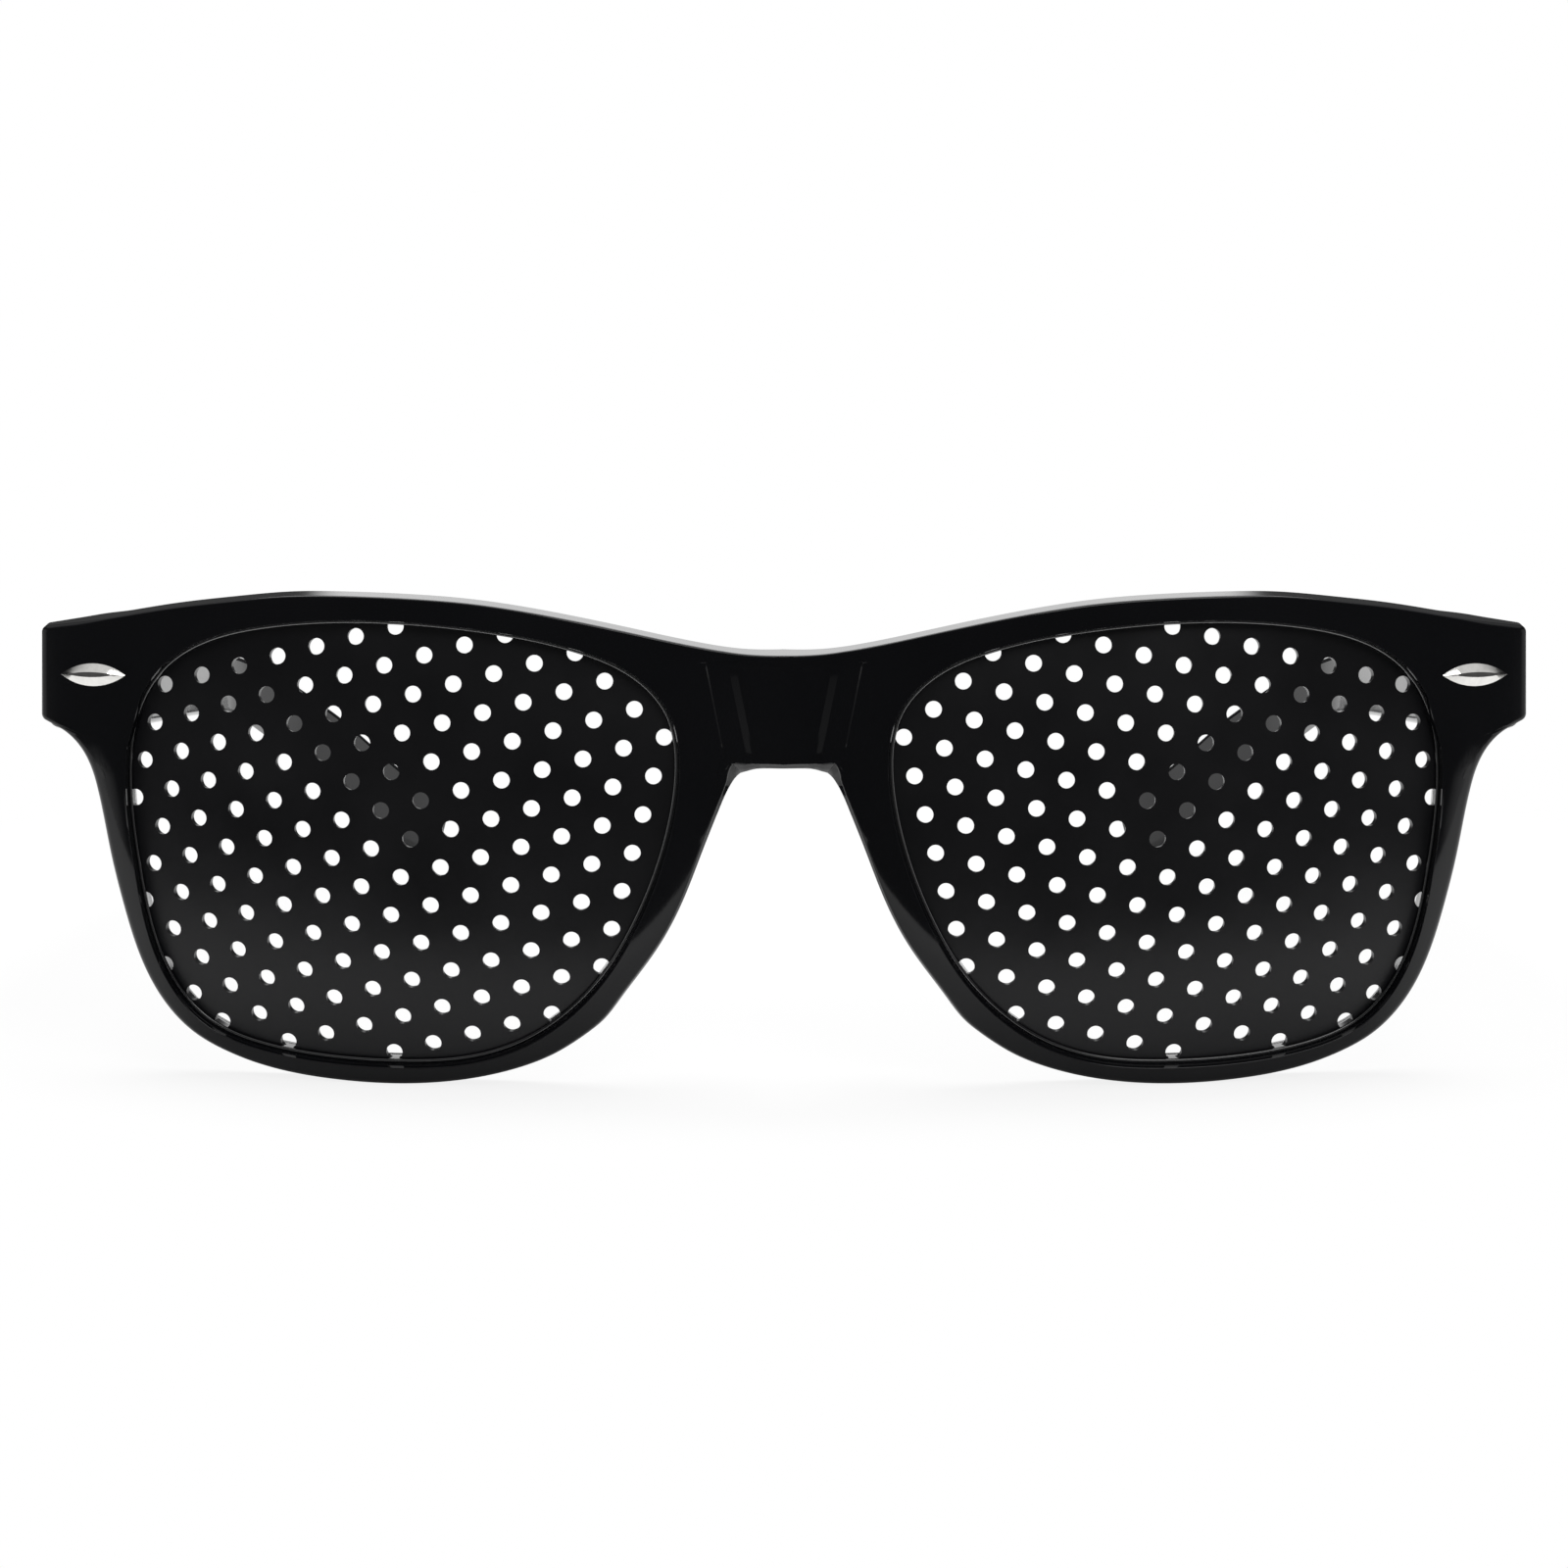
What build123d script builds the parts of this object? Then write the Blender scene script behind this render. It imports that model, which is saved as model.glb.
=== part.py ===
from build123d import *
import math
import os

os.makedirs("parts", exist_ok=True)

# Pinhole glasses, millimetres. +Z is up and the face of the glasses looks along -Y.
# The glasses stand open, on the bottoms of the rims and the tips of the temples, at z = 0.
# Pieces are modelled on the +X side and mirrored to the -X side.

# Overall sizes
front_width = 145.0
front_height = 47.7
overall_depth = 140.8
overrun = 2.0  # how far every cutting shape runs past what it cuts

# Rims
rim_proud = 1.4  # rim face ahead of the plate face
rim_depth = 4.0
rim_above = 2.68  # rim above and below the lens opening at its tallest
rim_below = 2.54
opening_from_middle = 10.5  # from the middle of the bridge to the lens opening
opening_from_end = 9.23  # from the outer end of the front to the lens opening
wrap_angle = 7.23  # degrees that each plate turns outwards
face_ahead = 0.6  # the ball that shapes the face bulges this far past the rims, inside the openings

# Perforated plates
plate_radius = 105.0
plate_thickness = 0.8
plate_seat = 0.8  # how far the plate's edge runs into the groove
groove_clearance = 0.05
hole_radius = 0.79
hole_flare = 0.1  # how much wider the hole is at its back
hole_pitch = 4.03
row_spacing = 3.36
row_slope = 14.8  # degrees
row_lean = 0.07
first_hole_x = 1.05
first_hole_z = 0.72
hole_reach = 0.15  # a hole is made when its centre is no further than this outside the opening

# Bridge
bridge_crease_top = 7.7  # half widths between the creases, at the brow and at the arch
bridge_crease_low = 5.5
bridge_face_top = 5.2
bridge_face_low = 3.2
bridge_recess = 0.45
crease_step = 0.12
bridge_fill_half = 4.2
bridge_fill_depth = 5.4

# Nose pads, moulded on the backs of the rims
pad_from_opening = 1.6
pad_z = 17.6
pad_length = 12.0
pad_width = 3.2
pad_tip_length = 8.6
pad_tip_width = 2.2
pad_lean = 64.0  # degrees
pad_reach = 5.0
pad_splay = 0.8
pad_root = 1.5

# Endpieces and temples
endpiece_depth = 16.9  # from the very front to the face that the temple butts on
endpiece_width = 9.1
endpiece_taper = 0.3  # how much narrower it is at its back
endpiece_below_hinge = 6.0
butt_gap = 0.15
temple_thickness = 3.8
temple_step = 0.1  # the temple's outer face lies this far inside the end of the front
temple_height = 10.4
temple_edge_radius = 1.1

# Hinges
hinge_height_share = 0.8092  # of the front's height
barrel_radius = 1.4
barrel_gap = 0.2  # between the barrel and the plastic beside it
knuckle_gap = 0.08
knuckle_height = 1.6
middle_knuckle_height = 1.8
leaf_thickness = 0.8
leaf_height = 5.2
temple_leaf_height = 4.6
leaf_pocket_gap = 0.03
front_leaf_width = 6.4
front_leaf_from_end = 2.1
temple_leaf_length = 10.5
web_width = 1.6
screw_radius = 0.6
screw_clearance = 0.05
screw_head_radius = 1.1
screw_head_height = 0.5
screw_slot_width = 0.3
screw_slot_depth = 0.25

# Rivet shields
shield_from_end = 5.4
shield_above_hinge = 0.66
shield_tilt = 2.2  # degrees by which its outer end is turned down
shield_length = 7.3
shield_width = 2.2
shield_height = 0.55
shield_sink = 0.25
shield_ridge_length = 5.4
shield_ridge_width = 0.5
shield_clearance = 0.03
rivet_spacing = 3.8
rivet_radius = 0.5
side_shield_from_butt = 6.0

half_width = front_width / 2
front_y = -overall_depth / 2 - face_ahead
opening_width = half_width - opening_from_middle - opening_from_end
opening_height = front_height - rim_above - rim_below
lens_centre_x = opening_from_middle + opening_width / 2
lens_centre_z = rim_below + opening_height / 2
sphere_x = lens_centre_x - plate_radius * math.sin(math.radians(wrap_angle))
sphere_y = front_y + rim_proud + plate_radius
sphere_centre = Vector(sphere_x, sphere_y, lens_centre_z)
face_radius = plate_radius + rim_proud
butt_y = front_y + endpiece_depth
front_plane = Plane.XZ.offset(-front_y)
hinge_z = hinge_height_share * front_height
endpiece_inner_x = half_width - endpiece_width
endpiece_low_z = hinge_z - endpiece_below_hinge
pad_x = opening_from_middle + pad_from_opening
shield_x = half_width - shield_from_end
shield_z = hinge_z + shield_above_hinge


def surface_y(x, z, radius):
    """The y where the ball of this radius, centred with the plate, faces the front at x, z."""
    across = x - sphere_x
    up = z - lens_centre_z
    return sphere_y - math.sqrt(radius**2 - across**2 - up**2)


def surface_normal(x, z):
    """The outward direction of the rim's face at x, z."""
    return (Vector(x, surface_y(x, z, face_radius), z) - sphere_centre).normalized()


# Outline of one half of the front, as shares of the half width and the height
brow_shares = [
    (0, 0.8825),
    (0.0525, 0.8857),
    (0.104, 0.898),
    (0.208, 0.9329),
    (0.312, 0.9656),
    (0.416, 0.989),
    (0.494, 0.997),
    (0.59, 1.0),
    (0.653, 0.9975),
    (0.733, 0.984),
    (0.815, 0.9655),
    (0.951, 0.925),
]
endpiece_top_share = 0.913
endpiece_low_share = 0.7275
rim_shares = [
    (0.9755, 0.711),
    (0.942, 0.667),
    (0.923, 0.596),
    (0.904, 0.453),
    (0.889, 0.356),
    (0.8704, 0.259),
    (0.8396, 0.162),
    (0.792, 0.0866),
    (0.752, 0.0545),
    (0.7116, 0.0327),
    (0.605, 0.005),
    (0.53, 0.0),
    (0.432, 0.011),
    (0.354, 0.0388),
    (0.312, 0.0644),
    (0.261, 0.1134),
    (0.24, 0.1405),
    (0.215, 0.19),
    (0.169, 0.2876),
    (0.135, 0.384),
    (0.11, 0.48),
    (0.0855, 0.5746),
    (0.0712, 0.6214),
    (0.062, 0.6385),
    (0.0518, 0.6463),
    (0.036, 0.6512),
    (0, 0.652),
]
corner_radius = 0.7
# Outline of the lens opening, from its highest point to its lowest on the nose side and back up
# on the outer side, as shares of its half width and half height
opening_nose_shares = [
    (0.12, 1.0),
    (-0.276, 0.968),
    (-0.662, 0.869),
    (-0.84, 0.767),
    (-0.969, 0.588),
    (-1.0, 0.35),
    (-0.974, 0.107),
    (-0.842, -0.353),
    (-0.74, -0.567),
    (-0.605, -0.751),
    (-0.438, -0.893),
    (-0.247, -0.973),
    (0.05, -1.0),
]
opening_outer_shares = [
    (0.05, -1.0),
    (0.344, -0.98),
    (0.54, -0.937),
    (0.728, -0.837),
    (0.86, -0.644),
    (0.968, -0.165),
    (1.0, 0.32),
    (0.967, 0.566),
    (0.861, 0.775),
    (0.697, 0.9),
    (0.506, 0.962),
    (0.12, 1.0),
]
brow_points = [Vector(a * half_width, b * front_height) for a, b in brow_shares]
rim_points = [Vector(a * half_width, b * front_height) for a, b in rim_shares]


def draw_opening(growth):
    """The outline of the lens opening, with its half width and half height grown by this much."""
    half_across = opening_width / 2 + growth
    half_up = opening_height / 2 + growth
    for shares, ends in ((opening_nose_shares, [(-1, 0), (1, 0)]), (opening_outer_shares, [(1, 0), (-1, 0)])):
        points = [(lens_centre_x + a * half_across, lens_centre_z + b * half_up) for a, b in shares]
        Spline(*points, tangents=ends)


# Front frame: rims, bridge, endpieces and nose pads are one moulding
with BuildPart() as half_outline:
    with BuildSketch(front_plane) as half_face:
        with BuildLine():
            top_corner = Vector(half_width, endpiece_top_share * front_height)
            low_corner = Vector(half_width, endpiece_low_share * front_height)
            brow = Spline(*brow_points, tangents=[(1, 0), top_corner - brow_points[-1]])
            Line(brow @ 1, top_corner)
            Line(top_corner, low_corner)
            Line(low_corner, rim_points[0])
            rim_curve = Spline(*rim_points, tangents=[rim_points[0] - low_corner, (-1, 0)])
            Line(rim_curve @ 1, brow @ 0)
        make_face()
        fillet(half_face.vertices().filter_by_position(Axis.X, half_width, half_width), corner_radius)
    extrude(amount=-endpiece_depth)

with BuildPart() as opening_block:
    with BuildSketch(front_plane.offset(overrun)):
        with BuildLine():
            draw_opening(0)
        make_face()
    extrude(amount=-(endpiece_depth + 2 * overrun))

with BuildPart() as groove_block:
    with BuildSketch(front_plane):
        with BuildLine():
            draw_opening(plate_seat + groove_clearance)
        make_face()
    extrude(amount=-endpiece_depth)
    with Locations(sphere_centre):
        Sphere(plate_radius + groove_clearance, mode=Mode.INTERSECT)
        Sphere(plate_radius - plate_thickness - groove_clearance, mode=Mode.SUBTRACT)

with BuildPart() as half_front:
    add(half_outline.part)
    with Locations(sphere_centre):
        Sphere(face_radius, mode=Mode.INTERSECT)
        Sphere(face_radius - rim_depth, mode=Mode.SUBTRACT)
    # Nose pad
    pad_root_y = surface_y(pad_x, pad_z, face_radius - rim_depth) - pad_root
    with BuildSketch(Plane.XZ.offset(-pad_root_y)):
        with Locations((pad_x, pad_z)):
            Ellipse(pad_length / 2, pad_width / 2, rotation=-pad_lean)
    with BuildSketch(Plane.XZ.offset(-(pad_root_y + pad_root + pad_reach))):
        with Locations((pad_x + pad_splay, pad_z)):
            Ellipse(pad_tip_length / 2, pad_tip_width / 2, rotation=-pad_lean)
    loft()
    add(opening_block.part, mode=Mode.SUBTRACT)
    add(groove_block.part, mode=Mode.SUBTRACT)

# Endpiece: the outer end of the rim, thickened back to the face that the temple butts on
with BuildPart() as endpiece:
    add(half_outline.part)
    with Locations(sphere_centre):
        Sphere(face_radius, mode=Mode.INTERSECT)
    with BuildSketch(Plane.XY.offset(endpiece_low_z)):
        with BuildLine():
            Polyline(
                (endpiece_inner_x, front_y),
                (half_width + overrun, front_y),
                (half_width + overrun, butt_y),
                (endpiece_inner_x + endpiece_taper, butt_y),
                (endpiece_inner_x, surface_y(endpiece_inner_x, hinge_z, face_radius - rim_depth)),
                close=True,
            )
        make_face()
    extrude(amount=front_height, mode=Mode.INTERSECT)
    add(opening_block.part, mode=Mode.SUBTRACT)
    add(groove_block.part, mode=Mode.SUBTRACT)

# Bridge: a flat face with a sloping cheek on each side, set back a little between the rims
with BuildPart() as bridge_fill:
    add(half_outline.part)
    with BuildSketch(Plane.XY):
        with Locations((0, front_y + bridge_fill_depth / 2)):
            Rectangle(2 * bridge_fill_half, bridge_fill_depth)
    extrude(amount=front_height, mode=Mode.INTERSECT)

bridge_low_z = rim_points[-1].Y
bridge_top_z = brow_points[0].Y
# Levels at which the facets are set out, from below the arch to above the brow
bridge_level_shares = [-0.2, 0.15, 0.5, 0.85, 1.2]
with BuildPart() as bridge_cutter:
    for level_share in bridge_level_shares:
        level_z = bridge_low_z + level_share * (bridge_top_z - bridge_low_z)
        crease_x = bridge_crease_low + level_share * (bridge_crease_top - bridge_crease_low)
        face_x = bridge_face_low + level_share * (bridge_face_top - bridge_face_low)
        crease_y = surface_y(crease_x, level_z, face_radius) + crease_step
        face_y = surface_y(face_x, level_z, face_radius) + bridge_recess
        with BuildSketch(Plane.XY.offset(level_z)):
            with BuildLine():
                Polyline(
                    (-crease_x, front_y - overrun),
                    (-crease_x, crease_y),
                    (-face_x, face_y),
                    (face_x, face_y),
                    (crease_x, crease_y),
                    (crease_x, front_y - overrun),
                    close=True,
                )
            make_face()
    loft(ruled=True)


def pointed_oval(length, width, growth):
    """A face between two arcs that meet in a point at each end, grown outwards by this much."""
    with BuildSketch() as oval:
        with BuildLine():
            ThreePointArc((-length / 2, 0), (0, width / 2), (length / 2, 0))
            ThreePointArc((length / 2, 0), (0, -width / 2), (-length / 2, 0))
        make_face()
        if growth:
            offset(amount=growth, kind=Kind.INTERSECTION)
    return oval.sketch


# Rivet shield of the front: a pointed metal oval with two rivets behind it
shield_normal = surface_normal(shield_x, shield_z)
shield_plane = Plane(
    origin=(shield_x, surface_y(shield_x, shield_z, face_radius), shield_z),
    x_dir=Vector(0, 0, 1).cross(shield_normal) - Vector(0, 0, math.tan(math.radians(shield_tilt))),
    z_dir=shield_normal,
)
rivet_xs = [shield_x - rivet_spacing / 2, shield_x + rivet_spacing / 2]
with BuildPart() as front_rivet_shield_right:
    with BuildSketch(shield_plane.offset(-shield_sink)):
        add(pointed_oval(shield_length, shield_width, 0))
    extrude(amount=shield_sink)
    with BuildSketch(shield_plane):
        add(pointed_oval(shield_length, shield_width, 0))
    with BuildSketch(shield_plane.offset(shield_height)):
        add(pointed_oval(shield_ridge_length, shield_ridge_width, 0))
    loft(ruled=True)
    for rivet_x in rivet_xs:
        rivet_y = surface_y(rivet_x, shield_z, face_radius)
        with BuildSketch(Plane.XZ.offset(-rivet_y)):
            with Locations((rivet_x, shield_z)):
                Circle(rivet_radius)
        extrude(amount=-(butt_y - rivet_y))

with BuildPart() as shield_pocket:
    with BuildSketch(shield_plane.offset(-shield_sink)):
        add(pointed_oval(shield_length, shield_width, shield_clearance))
    extrude(amount=shield_sink + overrun)

with BuildPart() as rivet_holes:
    with BuildSketch(front_plane):
        for rivet_x in rivet_xs:
            with Locations((rivet_x, shield_z)):
                Circle(rivet_radius + shield_clearance)
    extrude(amount=-(endpiece_depth + overrun))

# Front hinge leaf: a plate let into the back of the endpiece, with two knuckles on it
temple_inner_x = half_width - temple_step - temple_thickness
hinge_x = temple_inner_x - barrel_gap - barrel_radius
hinge_y = butt_y + barrel_gap + barrel_radius
barrel_height = 2 * knuckle_height + 2 * knuckle_gap + middle_knuckle_height
barrel_low_z = hinge_z - barrel_height / 2
front_leaf_x = half_width - front_leaf_from_end - front_leaf_width / 2
with BuildPart() as front_hinge_leaf_right:
    with BuildSketch(Plane.XZ.offset(-butt_y)):
        with Locations((front_leaf_x, hinge_z)):
            RectangleRounded(front_leaf_width, leaf_height, leaf_thickness)
    extrude(amount=leaf_thickness)
    for knuckle_z in (barrel_low_z, barrel_low_z + barrel_height - knuckle_height):
        with BuildSketch(Plane.XY.offset(knuckle_z)):
            with Locations((hinge_x, hinge_y)):
                Circle(barrel_radius)
            with Locations((hinge_x, (hinge_y + butt_y) / 2)):
                Rectangle(web_width, hinge_y - butt_y)
        extrude(amount=knuckle_height)
    with BuildSketch(Plane.XY.offset(barrel_low_z - overrun)):
        with Locations((hinge_x, hinge_y)):
            Circle(screw_radius + screw_clearance)
    extrude(amount=barrel_height + 2 * overrun, mode=Mode.SUBTRACT)
    add(rivet_holes.part, mode=Mode.SUBTRACT)

with BuildPart() as front_leaf_pocket:
    with BuildSketch(Plane.XZ.offset(-butt_y - overrun)):
        with Locations((front_leaf_x, hinge_z)):
            RectangleRounded(
                front_leaf_width + 2 * leaf_pocket_gap,
                leaf_height + 2 * leaf_pocket_gap,
                leaf_thickness + leaf_pocket_gap,
            )
    extrude(amount=leaf_thickness + overrun)

with BuildPart() as front_frame:
    add(half_front.part)
    add(endpiece.part)
    add(bridge_fill.part)
    add(bridge_cutter.part, mode=Mode.SUBTRACT)
    add(shield_pocket.part, mode=Mode.SUBTRACT)
    add(rivet_holes.part, mode=Mode.SUBTRACT)
    add(front_leaf_pocket.part, mode=Mode.SUBTRACT)
    mirror(about=Plane.YZ)
front_frame.part.label = "front_frame"
export_step(front_frame.part, "parts/front_frame.step")

# Perforated plate: an opaque dished sheet pierced by rows of small holes square to its face
plate_normal = Vector(math.sin(math.radians(wrap_angle)), -math.cos(math.radians(wrap_angle)), 0)
plate_inward = Vector(-math.cos(math.radians(wrap_angle)), -math.sin(math.radians(wrap_angle)), 0)
plate_up = Vector(0, 0, 1)
slope = math.radians(row_slope)
rows_each_way = int(opening_width / row_spacing / 2) + 2
hole_planes = []
with BuildSketch() as reach_outline:
    with BuildLine():
        draw_opening(hole_reach)
    make_face()
reach_face = reach_outline.sketch.faces()[0]
for row in range(-rows_each_way, rows_each_way + 1):
    for place in range(-2 * rows_each_way, 2 * rows_each_way + 1):
        along = place * hole_pitch + row * (hole_pitch / 2 - row_lean)
        beside = row * row_spacing
        across = first_hole_x + along * math.cos(slope) - beside * math.sin(slope)
        up = first_hole_z + along * math.sin(slope) + beside * math.cos(slope)
        distance = math.hypot(across, up)
        turn = distance / plate_radius
        if turn > 1:
            continue
        direction = (plate_inward * across + plate_up * up) * (1 / distance)
        outward = plate_normal * math.cos(turn) + direction * math.sin(turn)
        centre = sphere_centre + outward * (plate_radius - plate_thickness / 2)
        if reach_face.is_inside(Vector(centre.X, centre.Z, 0)):
            hole_planes.append(Plane(origin=centre, z_dir=outward))
print("holes in each plate:", len(hole_planes))

with BuildPart() as pinhole_lens_right:
    with BuildSketch(front_plane):
        with BuildLine():
            draw_opening(plate_seat)
        make_face()
    extrude(amount=-endpiece_depth)
    with Locations(sphere_centre):
        Sphere(plate_radius, mode=Mode.INTERSECT)
        Sphere(plate_radius - plate_thickness, mode=Mode.SUBTRACT)
    with Locations(*hole_planes):
        Cone(hole_radius + hole_flare, hole_radius, plate_thickness + hole_flare, mode=Mode.SUBTRACT)
pinhole_lens_right.part.label = "pinhole_lens_right"
export_step(pinhole_lens_right.part, "parts/pinhole_lens_right.step")

# Hinge screw: through both knuckles of the front leaf and the temple's knuckle between them
with BuildPart() as hinge_screw_right:
    with BuildSketch(Plane.XY.offset(barrel_low_z)):
        with Locations((hinge_x, hinge_y)):
            Circle(screw_radius)
    extrude(amount=barrel_height)
    with BuildSketch(Plane.XY.offset(barrel_low_z + barrel_height)):
        with Locations((hinge_x, hinge_y)):
            Circle(screw_head_radius)
    extrude(amount=screw_head_height)
    with BuildSketch(Plane.XY.offset(barrel_low_z + barrel_height + screw_head_height)):
        with Locations((hinge_x, hinge_y)):
            Rectangle(2 * screw_head_radius + screw_slot_width, screw_slot_width)
            Rectangle(screw_slot_width, 2 * screw_head_radius + screw_slot_width)
    extrude(amount=-screw_slot_depth, mode=Mode.SUBTRACT)

# Temple: straight to the neck, then bent down behind the ear and curved inwards to a rounded tip.
# Each station gives the share of the temple's reach at which it lies, how far its middle has come
# in as a share of the reach, its height as a share of the hinge's height, and its height and
# thickness as shares of the temple's own. The first station is ahead of the butt, which is cut flat.
temple_shares = [
    (-0.03, -0.0022, 0.9985, 0.94, 1.0),
    (0.1, 0.0072, 0.938, 0.94, 1.0),
    (0.3, 0.0216, 0.8453, 0.87, 0.97),
    (0.5, 0.034, 0.758, 0.755, 0.95),
    (0.61, 0.0415, 0.706, 0.705, 0.93),
    (0.65, 0.0465, 0.6835, 0.67, 0.92),
    (0.69, 0.0565, 0.655, 0.625, 0.92),
    (0.735, 0.076, 0.608, 0.595, 0.92),
    (0.787, 0.1, 0.517, 0.63, 0.92),
    (0.84, 0.13, 0.402, 0.685, 0.92),
    (0.891, 0.159, 0.272, 0.74, 0.92),
    (0.93, 0.1825, 0.176, 0.765, 0.91),
    (0.96, 0.2036, 0.111, 0.73, 0.87),
    (0.978, 0.2167, 0.075, 0.62, 0.74),
    (0.99, 0.2258, 0.0515, 0.42, 0.5),
]
temple_y = butt_y + butt_gap
temple_reach = overall_depth / 2 - temple_y
temple_middle_x = temple_inner_x + temple_thickness / 2
temple_middles = [
    Vector(temple_middle_x - b * temple_reach, temple_y + a * temple_reach, c * hinge_z)
    for a, b, c, _, _ in temple_shares
]
with BuildPart() as temple_blank:
    for station, (_, _, _, height_share, thickness_share) in enumerate(temple_shares):
        behind = temple_middles[max(station - 1, 0)]
        ahead = temple_middles[min(station + 1, len(temple_middles) - 1)]
        station_plane = Plane(
            origin=temple_middles[station],
            x_dir=(ahead - behind).cross(Vector(0, 0, 1)),
            z_dir=ahead - behind,
        )
        with BuildSketch(station_plane):
            RectangleRounded(
                temple_thickness * thickness_share,
                temple_height * height_share,
                temple_edge_radius * height_share,
            )
    loft(ruled=True)
    with BuildSketch(Plane.XZ.offset(-temple_y)):
        with Locations((temple_middle_x, hinge_z)):
            Rectangle(2 * temple_thickness, 2 * temple_height)
    extrude(amount=temple_height, mode=Mode.SUBTRACT)

# The faces of the temple's straight part: along it, upwards and outwards
toe_in = math.atan2(
    temple_middles[0].X - temple_middles[3].X, temple_middles[3].Y - temple_middles[0].Y
)
along_temple = Vector(-math.sin(toe_in), math.cos(toe_in), 0)
out_of_temple = Vector(math.cos(toe_in), math.sin(toe_in), 0)
temple_inner_plane = Plane(
    origin=(temple_inner_x, temple_y, hinge_z), x_dir=along_temple, z_dir=out_of_temple
)
temple_outer_plane = temple_inner_plane.offset(temple_thickness)

# Temple leaf: a plate let into the inner face of the temple, with the middle knuckle on it
middle_knuckle_z = hinge_z - middle_knuckle_height / 2
side_rivet_places = [
    (side_shield_from_butt - rivet_spacing / 2, 0),
    (side_shield_from_butt + rivet_spacing / 2, 0),
]
with BuildPart() as side_rivet_holes:
    with BuildSketch(temple_inner_plane.offset(-overrun)):
        for rivet_place in side_rivet_places:
            with Locations(rivet_place):
                Circle(rivet_radius + shield_clearance)
    extrude(amount=temple_thickness + 2 * overrun)

with BuildPart() as temple_hinge_leaf_right:
    with BuildSketch(temple_inner_plane):
        with Locations((temple_leaf_length / 2, 0)):
            Rectangle(temple_leaf_length, temple_leaf_height)
    extrude(amount=leaf_thickness)
    with BuildSketch(Plane.XY.offset(middle_knuckle_z)):
        with Locations((hinge_x, hinge_y)):
            Circle(barrel_radius)
        with Locations(((hinge_x + temple_inner_x + leaf_thickness / 2) / 2, hinge_y)):
            Rectangle(temple_inner_x + leaf_thickness / 2 - hinge_x, web_width)
    extrude(amount=middle_knuckle_height)
    with BuildSketch(Plane.XY.offset(middle_knuckle_z)):
        with Locations((hinge_x, hinge_y)):
            Circle(screw_radius + screw_clearance)
    extrude(amount=middle_knuckle_height, mode=Mode.SUBTRACT)
    add(side_rivet_holes.part, mode=Mode.SUBTRACT)

with BuildPart() as temple_leaf_pocket:
    with BuildSketch(temple_inner_plane.offset(-overrun)):
        with Locations(((temple_leaf_length + leaf_pocket_gap - overrun) / 2, 0)):
            Rectangle(
                temple_leaf_length + leaf_pocket_gap + overrun,
                temple_leaf_height + 2 * leaf_pocket_gap,
            )
    extrude(amount=overrun + leaf_thickness)

# Side rivet shield: the same pointed oval on the outside of the temple
side_shield_place = (side_shield_from_butt, 0)
with BuildPart() as temple_rivet_shield_right:
    with BuildSketch(temple_outer_plane.offset(-shield_sink)):
        with Locations(side_shield_place):
            add(pointed_oval(shield_length, shield_width, 0))
    extrude(amount=shield_sink)
    with BuildSketch(temple_outer_plane):
        with Locations(side_shield_place):
            add(pointed_oval(shield_length, shield_width, 0))
    with BuildSketch(temple_outer_plane.offset(shield_height)):
        with Locations(side_shield_place):
            add(pointed_oval(shield_ridge_length, shield_ridge_width, 0))
    loft(ruled=True)
    with BuildSketch(temple_inner_plane):
        for rivet_place in side_rivet_places:
            with Locations(rivet_place):
                Circle(rivet_radius)
    extrude(amount=temple_thickness)

with BuildPart() as side_shield_pocket:
    with BuildSketch(temple_outer_plane.offset(-shield_sink)):
        with Locations(side_shield_place):
            add(pointed_oval(shield_length, shield_width, shield_clearance))
    extrude(amount=shield_sink + overrun)

with BuildPart() as temple_right:
    add(temple_blank.part)
    add(temple_leaf_pocket.part, mode=Mode.SUBTRACT)
    add(side_shield_pocket.part, mode=Mode.SUBTRACT)
    add(side_rivet_holes.part, mode=Mode.SUBTRACT)

front_rivet_shield_right.part.label = "front_rivet_shield_right"
export_step(front_rivet_shield_right.part, "parts/front_rivet_shield_right.step")
front_hinge_leaf_right.part.label = "front_hinge_leaf_right"
export_step(front_hinge_leaf_right.part, "parts/front_hinge_leaf_right.step")
hinge_screw_right.part.label = "hinge_screw_right"
export_step(hinge_screw_right.part, "parts/hinge_screw_right.step")
temple_hinge_leaf_right.part.label = "temple_hinge_leaf_right"
export_step(temple_hinge_leaf_right.part, "parts/temple_hinge_leaf_right.step")
temple_rivet_shield_right.part.label = "temple_rivet_shield_right"
export_step(temple_rivet_shield_right.part, "parts/temple_rivet_shield_right.step")
temple_right.part.label = "temple_right"
export_step(temple_right.part, "parts/temple_right.step")

# The left-hand pieces are mirror images of the right-hand ones
right_pieces = [
    pinhole_lens_right,
    front_rivet_shield_right,
    front_hinge_leaf_right,
    hinge_screw_right,
    temple_hinge_leaf_right,
    temple_rivet_shield_right,
    temple_right,
]
for right_piece in right_pieces:
    with BuildPart() as left_piece:
        mirror(right_piece.part, about=Plane.YZ)
    left_piece.part.label = right_piece.part.label.replace("right", "left")
    export_step(left_piece.part, f"parts/{left_piece.part.label}.step")
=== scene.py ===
import math

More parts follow.
